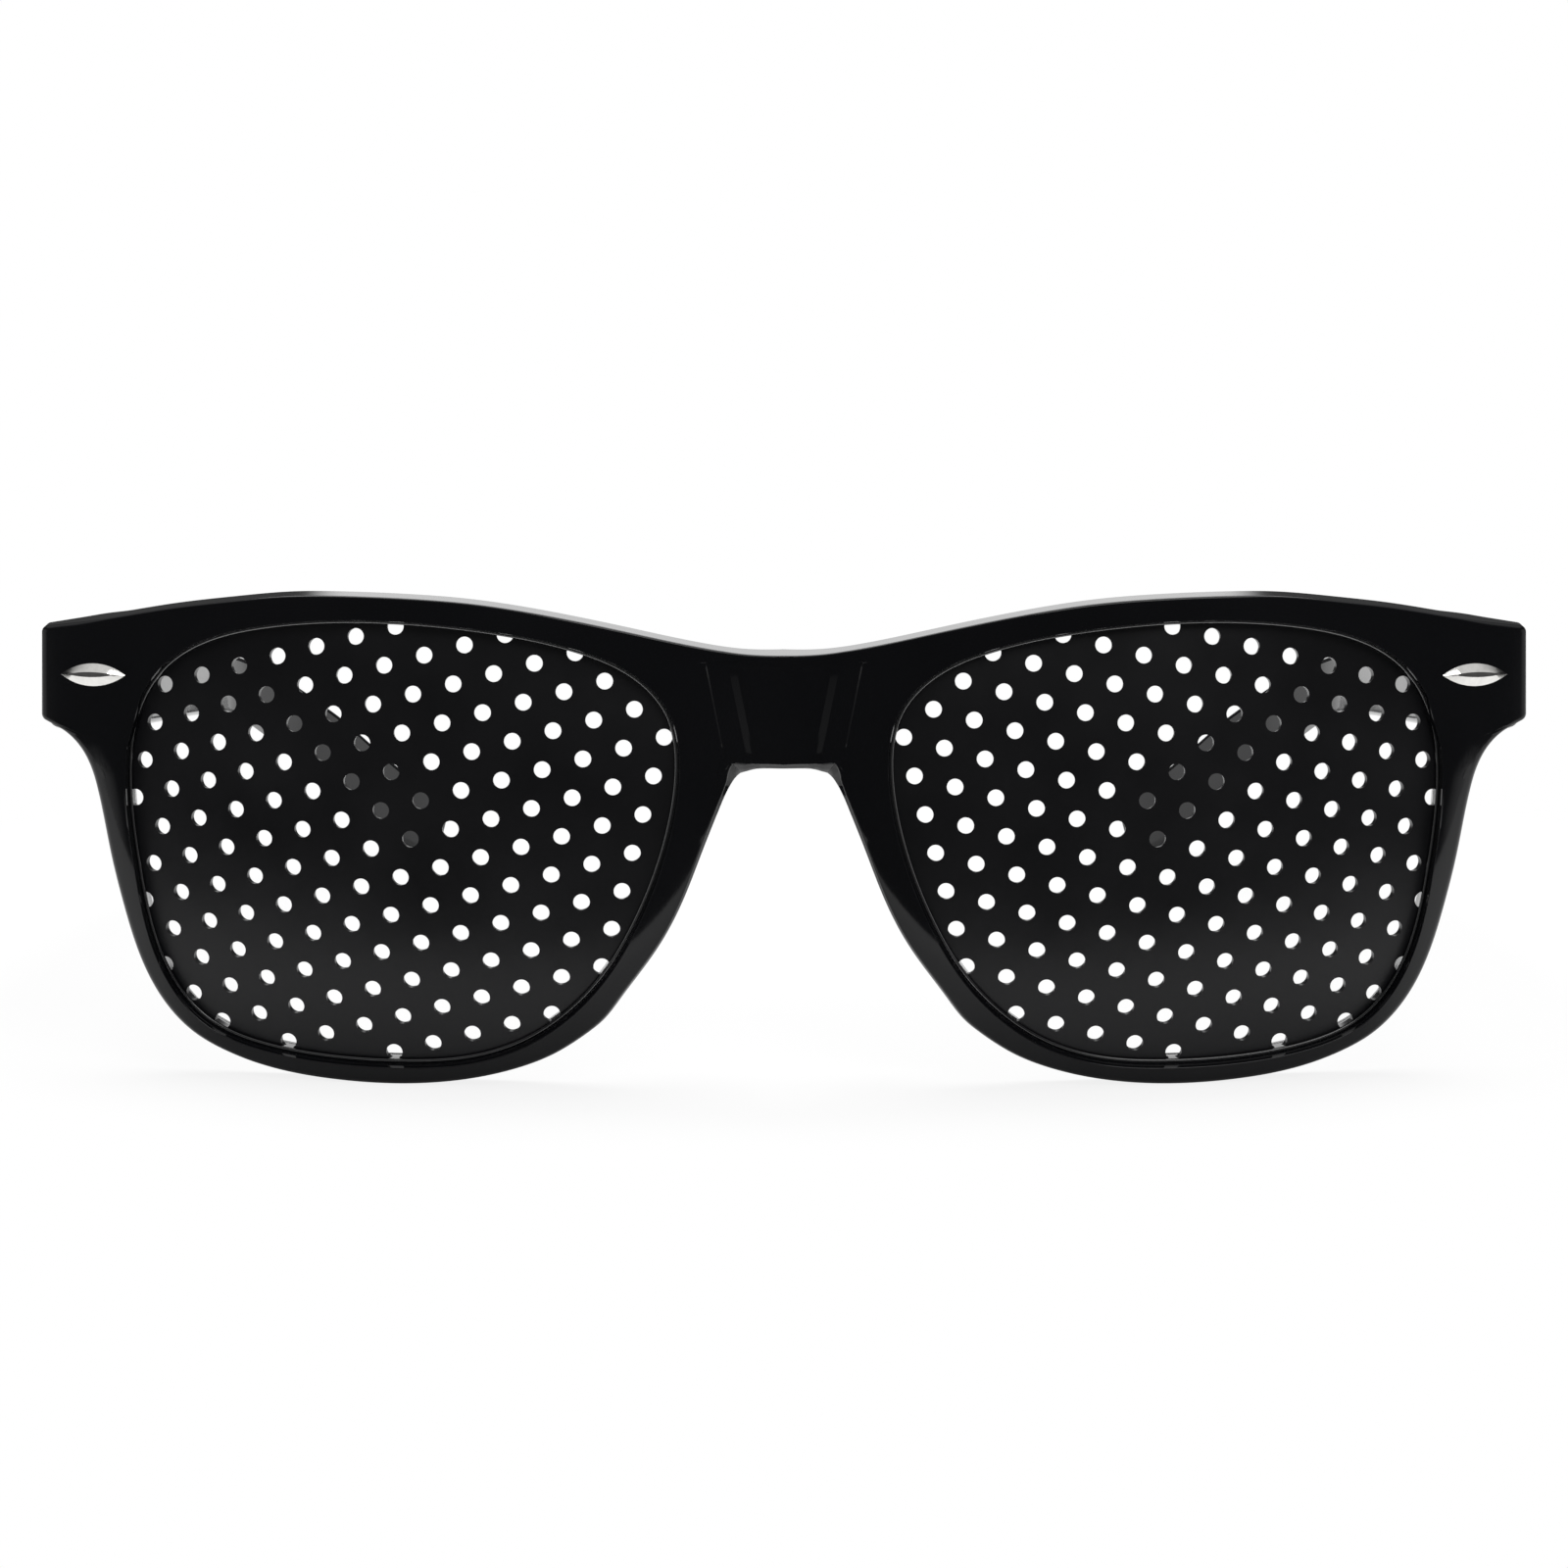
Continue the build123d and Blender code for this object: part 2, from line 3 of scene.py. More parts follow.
import bpy
import numpy as np
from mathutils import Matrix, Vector


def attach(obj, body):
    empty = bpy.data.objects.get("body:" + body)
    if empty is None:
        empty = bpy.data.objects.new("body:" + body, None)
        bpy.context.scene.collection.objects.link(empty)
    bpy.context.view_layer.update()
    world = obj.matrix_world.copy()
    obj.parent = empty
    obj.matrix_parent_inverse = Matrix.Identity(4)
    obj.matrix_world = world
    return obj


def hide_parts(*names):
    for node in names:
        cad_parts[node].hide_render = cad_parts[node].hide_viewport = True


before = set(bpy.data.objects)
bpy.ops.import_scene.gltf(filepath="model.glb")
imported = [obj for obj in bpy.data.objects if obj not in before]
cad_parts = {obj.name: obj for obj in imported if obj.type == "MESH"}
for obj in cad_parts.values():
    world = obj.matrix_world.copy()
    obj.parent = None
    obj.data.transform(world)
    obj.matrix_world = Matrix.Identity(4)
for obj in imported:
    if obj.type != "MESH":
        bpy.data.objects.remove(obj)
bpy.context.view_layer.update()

# Front moulding: two rims, the bridge and both endpieces, moulded in one piece of glossy black
# plastic. Its face bulges like a ball round each opening, and the mould rounds its edges over,
# except where the bridge and the arch over the nose are bevelled.
half_width = 72.5
front_height = 47.69
face_radius = 106.4
rim_depth = 4.0
ball_x, ball_y, ball_z = 23.67, 35.4, 23.78
opening_x, opening_z = 36.885, 23.78
opening_across, opening_up = 26.385, 21.24
butt_y = -54.06
edge_round, brow_round, back_round, corner_round = 0.45, 0.16, 0.4, 0.7
top_corner_share, low_corner_share = 0.913, 0.7275
crown_width, crown_drop = 3.2, 0.58
bevel_width, bevel_depth = 0.8, 0.515
crease_low, crease_top, crease_run, crease_step = 5.5, 7.7, 0.14, 0.12
flat_low, flat_top = 2.6, 4.86
fade_start, fade_run = 0.4, 1.9
block_inner_x, block_under_z, block_ramp = 63.5, 32.6, 0.3
shoulder_z, shoulder_run, shoulder_ramp = 41.0, 1.5, 4.0
bead_radius, bead_drop, lip_width, lip_lean, lip_foot = 0.24, 1.18, 0.61, 0.17, 1.32
brow_shares = [
    (0, 0.8825), (0.0525, 0.8857), (0.104, 0.898), (0.208, 0.9329), (0.312, 0.9656), (0.416, 0.989),
    (0.494, 0.997), (0.59, 1.0), (0.653, 0.9975), (0.733, 0.984), (0.815, 0.9655), (0.951, 0.925),
]
rim_shares = [
    (0.9755, 0.711), (0.942, 0.667), (0.923, 0.596), (0.904, 0.453), (0.889, 0.356),
    (0.8704, 0.259), (0.8396, 0.162), (0.792, 0.0866), (0.752, 0.0545), (0.7116, 0.0327),
    (0.605, 0.005), (0.53, 0.0), (0.432, 0.011), (0.354, 0.0388), (0.312, 0.0644),
    (0.261, 0.1134), (0.24, 0.1405), (0.215, 0.19), (0.169, 0.2876), (0.135, 0.384),
    (0.11, 0.48), (0.0855, 0.5746), (0.0712, 0.6214), (0.062, 0.6385), (0.0518, 0.6463),
    (0.036, 0.6512), (0, 0.652),
]
opening_nose_shares = [
    (0.12, 1.0), (-0.276, 0.968), (-0.662, 0.869), (-0.84, 0.767), (-0.969, 0.588), (-1.0, 0.35),
    (-0.974, 0.107), (-0.842, -0.353), (-0.74, -0.567), (-0.605, -0.751), (-0.438, -0.893),
    (-0.247, -0.973), (0.05, -1.0),
]
opening_outer_shares = [
    (0.05, -1.0), (0.344, -0.98), (0.54, -0.937), (0.728, -0.837), (0.86, -0.644),
    (0.968, -0.165), (1.0, 0.32), (0.967, 0.566), (0.861, 0.775), (0.697, 0.9), (0.506, 0.962),
    (0.12, 1.0),
]


def smooth_curve(points, first_way, last_way, count):
    """A cubic spline through the points: between two points it is the cubic that has their
    slopes, and the slopes are those that make its bend steady at every point. It leaves the first
    point and reaches the last one in the given directions."""
    points = np.array(points, float)
    first_way, last_way = np.array(first_way, float), np.array(last_way, float)
    runs = np.linalg.norm(np.diff(points, axis=0), axis=1)
    rises = np.diff(points, axis=0) / runs[:, None]
    many = len(points)
    weights = np.eye(many)
    middle = np.arange(1, many - 1)
    weights[middle, middle - 1] = runs[1:]
    weights[middle, middle] = 2 * (runs[1:] + runs[:-1])
    weights[middle, middle + 1] = runs[:-1]
    wanted = np.zeros_like(points)
    wanted[0] = first_way / np.linalg.norm(first_way)
    wanted[-1] = last_way / np.linalg.norm(last_way)
    wanted[1:-1] = 3 * (runs[1:, None] * rises[:-1] + runs[:-1, None] * rises[1:])
    slopes = np.linalg.solve(weights, wanted)
    at = np.concatenate([[0], np.cumsum(runs)])
    place = np.linspace(0, at[-1], count)
    span = np.clip(np.searchsorted(at, place, side="right") - 1, 0, many - 2)
    run = runs[span][:, None]
    s = (place - at[span])[:, None] / run
    return (
        points[span] * (2 * s**3 - 3 * s**2 + 1)
        + slopes[span] * run * (s**3 - 2 * s**2 + s)
        + points[span + 1] * (3 * s**2 - 2 * s**3)
        + slopes[span + 1] * run * (s**3 - s**2)
    )


def rounded_corner(before, corner, after, radius, count):
    """The arc of this radius that touches both arms of a corner."""
    before, corner, after = (np.array(p, float) for p in (before, corner, after))
    to_before = (before - corner) / np.linalg.norm(before - corner)
    to_after = (after - corner) / np.linalg.norm(after - corner)
    half_angle = math.acos(float(to_before @ to_after)) / 2
    inward = (to_before + to_after) / np.linalg.norm(to_before + to_after)
    centre = corner + inward * radius / math.sin(half_angle)
    start = corner + to_before * radius / math.tan(half_angle) - centre
    end = corner + to_after * radius / math.tan(half_angle) - centre
    share = np.linspace(0, 1, count)[:, None]
    arc = start * (1 - share) + end * share
    return centre + arc / np.linalg.norm(arc, axis=1)[:, None] * radius


def ball_front(x, z, radius):
    """Depth of the ball's near side at x, z: its centre less the root of the squares left over."""
    return ball_y - np.sqrt(radius**2 - (x - ball_x) ** 2 - (z - ball_z) ** 2)


brow_points = np.array(brow_shares) * (half_width, front_height)
rim_points = np.array(rim_shares) * (half_width, front_height)
top_corner = np.array([half_width, top_corner_share * front_height])
low_corner = np.array([half_width, low_corner_share * front_height])
brow_line = smooth_curve(brow_points, (1, 0), top_corner - brow_points[-1], 200)
rim_line = smooth_curve(rim_points, rim_points[0] - low_corner, (-1, 0), 330)
rim_line[:, 1] = np.maximum(rim_line[:, 1], 0)
outline = np.concatenate([
    brow_line,
    rounded_corner(brow_points[-1], top_corner, low_corner, corner_round, 14),
    rounded_corner(top_corner, low_corner, rim_points[0], corner_round, 14),
    rim_line,
])
opening_half = (opening_across, opening_up)
opening = np.concatenate([
    smooth_curve(np.array(opening_nose_shares) * opening_half, (-1, 0), (1, 0), 300),
    smooth_curve(np.array(opening_outer_shares) * opening_half, (1, 0), (-1, 0), 300)[1:-1],
]) + (opening_x, opening_z)


def across_line(angles, line):
    """Where a ray from the opening's centre crosses the line, at each angle, and the line's
    direction there."""
    ray = np.stack([np.cos(angles), np.sin(angles)], axis=1)[:, None]
    start = line[None, :-1] - (opening_x, opening_z)
    step = np.diff(line, axis=0)[None]
    cross = ray[..., 0] * step[..., 1] - ray[..., 1] * step[..., 0]
    cross = np.where(np.abs(cross) < 1e-12, 1e-12, cross)
    along = (start[..., 0] * step[..., 1] - start[..., 1] * step[..., 0]) / cross
    share = (start[..., 0] * ray[..., 1] - start[..., 1] * ray[..., 0]) / cross
    hit = (share >= -1e-9) & (share <= 1 + 1e-9) & (along > 0)
    along = np.where(hit, along, np.inf)
    best = np.argmin(along, axis=1)
    line_way = step[0, best] / np.linalg.norm(step[0, best], axis=1)[:, None]
    reach = along[np.arange(len(angles)), best]
    return ray[:, 0] * reach[:, None] + (opening_x, opening_z), line_way


def gap_to_outline(x, z):
    """Distance from each point to the nearest stretch of the outline, leaving out its middle line,
    and the number of that stretch. The points are taken in batches, which needs less memory."""
    batches = 24
    step = np.diff(outline, axis=0)
    size = (step**2).sum(1)
    gaps, nearest = [], []
    for px, pz in zip(np.array_split(x.ravel(), batches), np.array_split(z.ravel(), batches)):
        dx = px[:, None] - outline[None, :-1, 0]
        dz = pz[:, None] - outline[None, :-1, 1]
        share = np.clip((dx * step[:, 0] + dz * step[:, 1]) / size, 0, 1)
        away = np.hypot(dx - share * step[:, 0], dz - share * step[:, 1])
        gaps.append(away.min(axis=1))
        nearest.append(away.argmin(axis=1))
    return np.concatenate(gaps).reshape(x.shape), np.concatenate(nearest).reshape(x.shape)


def rolled(gap, radius):
    """How far a rounded edge has dropped at this distance from the edge: a quarter circle."""
    inside = np.clip(radius - gap, 0, radius)
    return radius - np.sqrt(radius**2 - inside**2)


def front_drop(x, z):
    """How far the front has dropped towards its edge: a soft crown along the rims, and the edge's
    own rounding, which is crisp along the brow and round the nose."""
    gap, nearest = gap_to_outline(x, z)
    crown = crown_drop * crown_share[nearest] * np.clip(1 - gap / crown_width, 0, 1) ** 2
    return crown + rolled(gap, front_radius[nearest])


bridge_low_z, bridge_top_z = rim_points[-1][1], brow_points[0][1]


def bridge_lines(z):
    """Half widths, at height z, of the bridge's creases and of its flat face."""
    share = (z - bridge_low_z) / (bridge_top_z - bridge_low_z)
    return crease_low + share * (crease_top - crease_low), flat_low + share * (flat_top - flat_low)


def face_depth(x, z):
    """Depth of the face: the ball, or between the creases a shallow step, two cheeks that follow
    the ball, and a flat middle sunk behind them with a straight bevel on each side. The step and
    the bevels run out below the brow."""
    crease, flat = bridge_lines(z)
    ball = ball_front(x, z, face_radius)
    below_brow = np.interp(x, brow_line[:, 0], brow_line[:, 1]) - z
    full = np.clip((below_brow - fade_start) / fade_run, 0, 1)
    full = full * full * (3 - 2 * full)
    step = np.clip((crease - x) / crease_run, 0, 1)
    bevel = np.clip((flat + bevel_width - x) / bevel_width, 0, 1)
    sunk = full * (crease_step + bevel_depth * bevel)
    bevel_y = ball_front(flat + bevel_width, z, face_radius) + sunk
    return np.where(x < flat + bevel_width, bevel_y, ball + full * crease_step * step)


def back_depth(x, z):
    """Depth of the back: the inner ball, stepping back to the butt face at the endpiece. The step
    is steep, but towards the top it becomes a long slope."""
    inside = np.minimum(x - block_inner_x, z - block_under_z)
    ramp = block_ramp + shoulder_ramp * np.clip((z - shoulder_z) / shoulder_run, 0, 1)
    step = np.clip(inside / ramp, 0, 1)
    step = step * step * (3 - 2 * step)
    ball = ball_front(x, z, face_radius - rim_depth)
    return np.minimum(ball * (1 - step) + butt_y * step, butt_y)


# The front edge is crisp along the brow and round the nose, and rounder down the rims. The rims
# are crowned too, but neither the brow nor the arch is
outline_run = np.concatenate([[0], np.cumsum(np.linalg.norm(np.diff(outline, axis=0), axis=1))])
brow_run = outline_run[len(brow_line) - 1]
rim_run, arch_run = outline_run[-len(rim_line)], outline_run[-1]
brow_blend, nose_blend, nose_start = 4, 30, 22
front_radius = np.interp(
    outline_run[:-1],
    [0, brow_run - brow_blend, brow_run, arch_run - nose_blend, arch_run - nose_start],
    [brow_round, brow_round, edge_round, edge_round, brow_round],
)
crown_full, crown_blend, crown_end = 6, 12, 7
crown_share = np.interp(
    outline_run[:-1],
    [rim_run, rim_run + crown_full, arch_run - crown_blend, arch_run - crown_end], [0, 1, 1, 0],
)

# Round the nose the face's edge is bevelled, most at the two shoulders of the arch: how far the
# bevel comes in, by the distance along the outline from the middle of the arch
outline_away = np.diff(outline, axis=0)[:, ::-1] * (-1, 1)
outline_away /= np.linalg.norm(outline_away, axis=1)[:, None]
arch_places = [0, 2.6, 3.5, 4.2, 4.6, 5.0, 5.7, 7.0, 14.0, 25.0, 38.0]
arch_insets = [0.42, 0.5, 0.72, 1.15, 1.35, 1.0, 0.5, 0.3, 0.2, 0.12, 0.0]
face_inset = np.interp(arch_run - outline_run[:-1], arch_places, arch_insets)
inset_fade, bevel_foot = 3.5, 0.12

# Straight lines cross the rim from the opening to the outline. Most point away from the opening's
# centre; on both sides of the bridge they lean, so that they stay inside the arch and the brow
edge_steps = np.array([1.1, 0.8, 0.58, 0.42, 0.3, 0.2, 0.12, 0.055, 0.015])
bridge_rise = bridge_top_z - bridge_low_z
middle_rise = np.concatenate([
    edge_steps[::-1], np.linspace(edge_steps[0], bridge_rise - edge_steps[0], 24)[1:-1],
    bridge_rise - edge_steps,
])
middle_line = np.column_stack([np.zeros_like(middle_rise), bridge_low_z + middle_rise])
outer_end = np.concatenate([outline, middle_line])
aim = np.unwrap(np.arctan2(outline[:, 1] - opening_z, outline[:, 0] - opening_x))
arch_lean_run, brow_lean_run = 13.0, 30.0
from_arch = arch_run - outline_run
under_bridge = np.radians([154.5, 160.3, 162.7, 165.1, 170.5]) - 2 * np.pi
own_aim = np.interp(arch_lean_run, from_arch[::-1], aim[::-1])
leaning = np.interp(from_arch, [0, 3.8, 4.6, 5.7, 8.1, arch_lean_run], [*under_bridge, own_aim])
aim = np.where(from_arch < arch_lean_run, leaning, aim)
over_bridge = np.radians([143.0, 136.5, 126.0])
own_aim = np.interp(brow_lean_run, outline_run, aim)
leaning = np.interp(outline_run, [0, 10, 20, brow_lean_run], [*over_bridge, own_aim])
aim = np.where(outline_run < brow_lean_run, leaning, aim)
middle_aim = np.interp(middle_rise, [0, bridge_rise], [under_bridge[0], aim[0] - 2 * np.pi])
aim = np.concatenate([aim, middle_aim])
inner_end, inner_way = across_line(aim, np.concatenate([opening, opening[:1]]))
way = outer_end - inner_end
width = np.linalg.norm(way, axis=1)
way /= width[:, None]
outer_way = np.concatenate([
    np.gradient(outline, axis=0), np.broadcast_to((0.0, 1.0), middle_line.shape),
])
outer_way /= np.linalg.norm(outer_way, axis=1)[:, None]


def squareness(line_way, least):
    """How square the lines across the rim stand to another line: the sine of the angle between
    them, and never under the least."""
    return np.clip(np.abs(way[:, 0] * line_way[:, 1] - way[:, 1] * line_way[:, 0]), least, 1)


inner_square, outer_square = squareness(inner_way, 0.3), squareness(outer_way, 0.2)


least_toward = 0.05


def run_to_slant(low, top):
    """How far along each line the slanted line lies that has these half widths at the bridge's
    foot and top."""
    slant = (top - low) / bridge_rise
    across = low + slant * (inner_end[:, 1] - bridge_low_z) - inner_end[:, 0]
    toward = way[:, 0] - slant * way[:, 1]
    meets = toward < -least_toward
    return np.where(meets, across / np.where(meets, toward, 1), np.inf)


def run_to_level(axis, level):
    """How far along each line its x or z reaches this level."""
    toward = way[:, axis]
    along = (level - inner_end[:, axis]) / np.maximum(toward, least_toward)
    return np.where(toward > least_toward, along, np.inf)


def between(low, high, count):
    """Evenly spaced places from low up to, but not at, high, for every line."""
    share = np.arange(count) / count
    return low[:, None] * (1 - share) + high[:, None] * share


def on_lines(run):
    """x and z of places at these distances along the lines."""
    x = inner_end[:, :1] + run * way[:, :1]
    z = inner_end[:, 1:] + run * way[:, 1:]
    return np.where(np.abs(x) < 1e-4, 0, x), z


# Columns of the face: they crowd at the creases, at the bevels and at the edge. Where a crease or
# a bevel would pass the edge, its columns stop short of it, each with its own room
crease_room, crease_end_room, flat_room, flat_end_room = 0.5, 0.35, 0.2, 0.1
lip_room, lip_clear = 0.05, 0.03
lean_out = lip_width - lip_lean * np.sin(aim)
edge_run = width[:, None] - edge_steps / outer_square[:, None]
last_free = edge_run[:, 0]
crease_start = np.minimum(run_to_slant(crease_low, crease_top), last_free - crease_room)
crease_end = run_to_slant(crease_low - crease_run, crease_top - crease_run)
crease_end = np.minimum(crease_end, last_free - crease_end_room)
flat_start = run_to_slant(flat_low + bevel_width, flat_top + bevel_width)
flat_start = np.minimum(flat_start, last_free - flat_room)
flat_end = np.minimum(run_to_slant(flat_low, flat_top), last_free - flat_end_room)
first_free = np.minimum((lean_out + lip_clear) / inner_square, crease_start - lip_room)
front_run = np.concatenate([
    between(first_free, crease_start, 7), between(crease_start, crease_end, 2),
    between(crease_end, flat_start, 4), between(flat_start, flat_end, 7),
    between(flat_end, last_free, 5), edge_run, width[:, None],
], axis=1)

# Columns of the back: they crowd where it steps back to the butt face
block_room, block_end_room, block_step_run, back_start = 0.4, 0.1, 0.36, 0.4
block_run = np.maximum(run_to_level(0, block_inner_x), run_to_level(1, block_under_z))
block_near = np.minimum(block_run, last_free - block_room)
block_far = np.minimum(block_run + block_step_run, last_free - block_end_room)
inner_free = np.minimum(back_start, block_near - lip_room)
back_run = np.concatenate([
    between(inner_free, block_near, 4), between(block_near, block_far, 6),
    between(block_far, last_free, 3), edge_run, width[:, None],
], axis=1)[:, ::-1]

# The face and the back at these places; round the nose the edge of the face is drawn in
front_x, front_z = on_lines(front_run)
front_fall = front_drop(front_x, front_z)
gap, nearest = gap_to_outline(front_x, front_z)
inset = face_inset[nearest] * np.clip(1 - gap / inset_fade, 0, 1)
front_z = front_z - outline_away[nearest, 1] * inset
front_x = np.where(front_x == 0, 0, front_x - outline_away[nearest, 0] * inset)
front_y = face_depth(front_x, front_z) + front_fall
back_x, back_z = on_lines(back_run)
back_y = back_depth(back_x, back_z) - rolled(gap_to_outline(back_x, back_z)[0], back_round)


def three_between(first, last):
    """Three columns on the straight way from one column to another."""
    share = np.array([0.04, 0.5, 0.96])
    return first * (1 - share) + last * share


# The wall round the outline: its bevel, as deep as it comes in, and then straight back
bevel_end_y = front_y[:, -1:] + inset[:, -1:] + bevel_foot
wall_x = np.concatenate([
    three_between(front_x[:, -1:], back_x[:, :1]), np.repeat(back_x[:, :1], 3, axis=1),
], axis=1)
wall_y = np.concatenate([
    three_between(front_y[:, -1:], bevel_end_y), three_between(bevel_end_y, back_y[:, :1]),
], axis=1)
wall_z = np.concatenate([
    three_between(front_z[:, -1:], back_z[:, :1]), np.repeat(back_z[:, :1], 3, axis=1),
], axis=1)

# The lip inside each rim: a short foot behind the bead, then a wall that leans out to the face,
# more at the bottom than at the top, and behind it the side of the rim down to a rounded hem
lip_share = np.array([0.0, 0.25, 0.42, 0.5, 0.91, 0.95, 0.98, 1.0])
lip_drop = np.array([lip_foot, lip_foot, lip_foot, lip_foot * 0.8, 0.05, 0.018, 0.004, 0.0])
lip_x, lip_z = on_lines(lean_out[:, None] * lip_share / inner_square[:, None])
lip_y = face_depth(lip_x, lip_z) + lip_drop
hem_round = 0.3
inner_back_y = back_depth(lip_x[:, :1], lip_z[:, :1])
side_end_y = inner_back_y - hem_round
side_x, side_z = np.repeat(lip_x[:, :1], 2, axis=1), np.repeat(lip_z[:, :1], 2, axis=1)
side_y = np.concatenate([side_end_y, (side_end_y + lip_y[:, :1]) / 2], axis=1)
hem_x, hem_z = on_lines(np.array([hem_round, 0.15, 0.05]) / inner_square[:, None])
hem_y = inner_back_y - np.array([0.0, 0.045, 0.15])
ring = np.stack([
    np.concatenate([side_x, lip_x, front_x, wall_x, back_x, hem_x], axis=1),
    np.concatenate([side_y, lip_y, front_y, wall_y, back_y, hem_y], axis=1),
    np.concatenate([side_z, lip_z, front_z, wall_z, back_z, hem_z], axis=1),
], axis=2)


def grid_faces(rows, columns, closed_rows, closed_columns):
    """Corner numbers of the four-sided faces between neighbouring rows and columns of a grid."""
    row = np.arange(rows if closed_rows else rows - 1)[:, None]
    column = np.arange(columns if closed_columns else columns - 1)[None]
    next_row, next_column = (row + 1) % rows, (column + 1) % columns
    return np.stack(np.broadcast_arrays(
        row * columns + column, next_row * columns + column,
        next_row * columns + next_column, row * columns + next_column,
    ), axis=-1).reshape(-1, 4)


def make_piece(name, corners_mm, faces, body, slot, sharp_degrees=30):
    """A mesh from points in millimetres and faces, on a body. The slot argument is not used."""
    mesh = bpy.data.meshes.new(name)
    mesh.from_pydata((np.asarray(corners_mm) / 1000).tolist(), [], [list(f) for f in faces])
    mesh.validate()
    piece = bpy.data.objects.new(name, mesh)
    bpy.context.scene.collection.objects.link(piece)
    mesh.shade_smooth()
    mesh.set_sharp_from_angle(angle=math.radians(sharp_degrees))
    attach(piece, body)
    return piece


def closed_up(corners_mm, faces, tolerance=0.004):
    """The same surface with points that lie together made one, and faces without area left out."""
    keys = np.round(corners_mm / tolerance).astype(np.int64)
    _, first, place = np.unique(keys, axis=0, return_index=True, return_inverse=True)
    place = place.reshape(-1)
    tidy = []
    for face in faces:
        corners = place[face].tolist()
        corners_left = [c for i, c in enumerate(corners) if c != corners[i - 1]]
        if len(set(corners_left)) > 2:
            tidy.append(corners_left)
    return corners_mm[first], tidy


# One half, without the faces that its middle line would close, and its mirror image
half_points = ring.reshape(-1, 3)
half_faces = grid_faces(ring.shape[0], ring.shape[1], True, True)
on_middle = (half_points[half_faces][..., 0] < 1e-6).all(axis=1)
half_faces = half_faces[~on_middle]
both_points = np.concatenate([half_points, half_points * (-1, 1, 1)])
both_faces = np.concatenate([half_faces, half_faces[:, ::-1] + len(half_points)])
moulding = make_piece(
    "front_moulding", *closed_up(both_points, both_faces), "front", "frame_plastic",
)
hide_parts("front_frame")


def clouded(name, size, detail, tones, tone_places, shine_limits):
    """A material whose colour and shine vary together with one soft noise: the colour runs from
    the first tone to the second, and the roughness from the first limit to the second."""
    material = bpy.data.materials.new(name)
    material.use_nodes = True
    nodes, links = material.node_tree.nodes, material.node_tree.links
    shader = nodes["Principled BSDF"]
    place = nodes.new("ShaderNodeTexCoord")
    cloud = nodes.new("ShaderNodeTexNoise")
    cloud.inputs["Scale"].default_value = size
    cloud.inputs["Detail"].default_value = detail
    links.new(place.outputs["Object"], cloud.inputs["Vector"])
    tone = nodes.new("ShaderNodeValToRGB")
    for number in (0, 1):
        tone.color_ramp.elements[number].position = tone_places[number]
        tone.color_ramp.elements[number].color = (*tones[number], 1)
    links.new(cloud.outputs["Fac"], tone.inputs["Fac"])
    links.new(tone.outputs["Color"], shader.inputs["Base Color"])
    shine = nodes.new("ShaderNodeMapRange")
    shine.inputs["From Min"].default_value = 0.3
    shine.inputs["From Max"].default_value = 0.7
    shine.inputs["To Min"].default_value = shine_limits[0]
    shine.inputs["To Max"].default_value = shine_limits[1]
    links.new(cloud.outputs["Fac"], shine.inputs["Value"])
    links.new(shine.outputs["Result"], shader.inputs["Roughness"])
    return material


def rippled(material, size, strength, height):
    """Ripples in the surface of a material, of this height in metres, from a finer noise."""
    nodes, links = material.node_tree.nodes, material.node_tree.links
    place = nodes.new("ShaderNodeTexCoord")
    ripples = nodes.new("ShaderNodeTexNoise")
    ripples.inputs["Scale"].default_value = size
    ripples.inputs["Detail"].default_value = 2
    links.new(place.outputs["Object"], ripples.inputs["Vector"])
    bump = nodes.new("ShaderNodeBump")
    bump.inputs["Strength"].default_value = strength
    bump.inputs["Distance"].default_value = height
    links.new(ripples.outputs["Fac"], bump.inputs["Height"])
    links.new(bump.outputs["Normal"], nodes["Principled BSDF"].inputs["Normal"])


def glossy_black(name, ripple_size, roughness, shine_level):
    """Polished black moulded plastic: near black, with faint ripples and uneven shine."""
    material = clouded(
        name, 60, 3, ((0.0030, 0.0032, 0.0040), (0.0046, 0.0048, 0.0058)), (0.3, 0.75),
        (roughness * 0.8, roughness * 1.3),
    )
    rippled(material, ripple_size, 0.06, 0.00004)
    shader = material.node_tree.nodes["Principled BSDF"]
    shader.inputs["Specular IOR Level"].default_value = shine_level
    return material


frame_plastic = glossy_black("frame_black_plastic", 420, 0.1, 0.32)
moulding.data.materials.append(frame_plastic)

# Lip beads: a thin round bead inside each rim, where the plate meets it, moulded in the same black
# plastic. Its shine is turned up above that plastic's own as a painted highlight, strongest at the
# top and weaker along the bottom. Each is a ring of circles carried round the opening's edge.
bead_way = np.roll(opening, -1, axis=0) - np.roll(opening, 1, axis=0)
bead_way /= np.linalg.norm(bead_way, axis=1)[:, None]
bead_out = np.stack([-bead_way[:, 1], bead_way[:, 0]], axis=1)
if (bead_out * (opening - (opening_x, opening_z))).sum() < 0:
    bead_out = -bead_out
bead_turn = np.linspace(0, 2 * np.pi, 16, endpoint=False)
bead_side = bead_radius * (1 + np.cos(bead_turn))
bead_x = opening[:, :1] + bead_out[:, :1] * bead_side
bead_z = opening[:, 1:] + bead_out[:, 1:] * bead_side
bead_y = face_depth(bead_x, bead_z) + bead_drop - bead_radius * np.sin(bead_turn)
bead_ring = np.stack([bead_x, bead_y, bead_z], axis=2).reshape(-1, 3)
bead_faces = grid_faces(len(opening), len(bead_turn), True, True)
beads = make_piece(
    "lip_beads", np.concatenate([bead_ring, bead_ring * (-1, 1, 1)]),
    np.concatenate([bead_faces, bead_faces[:, ::-1] + len(bead_ring)]), "front",
    "frame_plastic", sharp_degrees=60,
)
